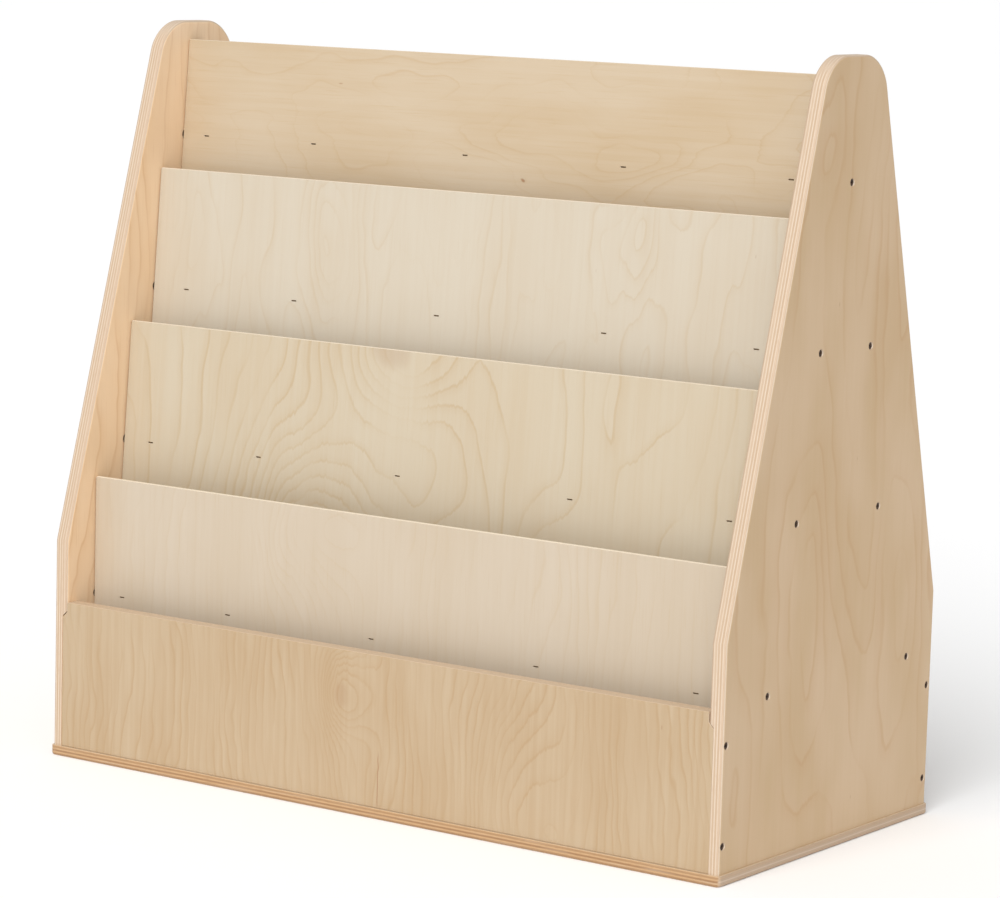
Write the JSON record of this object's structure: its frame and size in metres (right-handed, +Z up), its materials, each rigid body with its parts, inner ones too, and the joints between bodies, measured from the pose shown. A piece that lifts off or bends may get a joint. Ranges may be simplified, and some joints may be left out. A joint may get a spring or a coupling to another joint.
{
  "type": "double-sided book display stand",
  "caption": "Free-standing plywood display stand with sloping stepped pockets on both faces that hold picture books with their covers showing.",
  "frame": {"origin": "centre of the base board's underside, on the floor", "axes": "+X along the stand's length to its right-hand side seen from the front, -Y towards the front, +Z up"},
  "size_m": [0.919, 0.441, 0.85],
  "materials": {
    "side_birch": "clear satin lacquer on birch plywood, long upright figure, edges rounded over to show the plies",
    "lip_birch": "clear satin lacquer on birch plywood, upright cathedral figure",
    "panel_birch": "clear satin lacquer on thin pale birch plywood, upright figure, cut edges showing the plies",
    "top_panel_birch": "clear satin lacquer on thin birch plywood, fine figure along the stand",
    "shelf_birch": "clear satin lacquer on birch plywood, figure along the stand",
    "base_birch": "clear satin lacquer on birch plywood, darker cut edges",
    "screw_bronze": "dark bronze plated, satin",
    "staple_steel": "coated steel wire, dulled brown"
  },
  "bodies": {
    "root": {"left_side": "side_birch", "right_side": "side_birch", "base_board": "base_birch", "front_lip_board": "lip_birch", "rear_lip_board": "lip_birch", "top_rail": "shelf_birch", "upper_shelf": "shelf_birch", "middle_shelf": "shelf_birch", "lower_shelf": "shelf_birch", "front_top_panel": "top_panel_birch", "front_upper_panel": "panel_birch", "front_middle_panel": "panel_birch", "front_lower_panel": "panel_birch", "rear_top_panel": "top_panel_birch", "rear_upper_panel": "panel_birch", "rear_middle_panel": "panel_birch", "rear_lower_panel": "panel_birch", "left_side_screws": "screw_bronze", "right_side_screws": "screw_bronze", "base_screws": "screw_bronze", "front_staples": "staple_steel", "rear_staples": "staple_steel"}
  },
  "joints": []
}
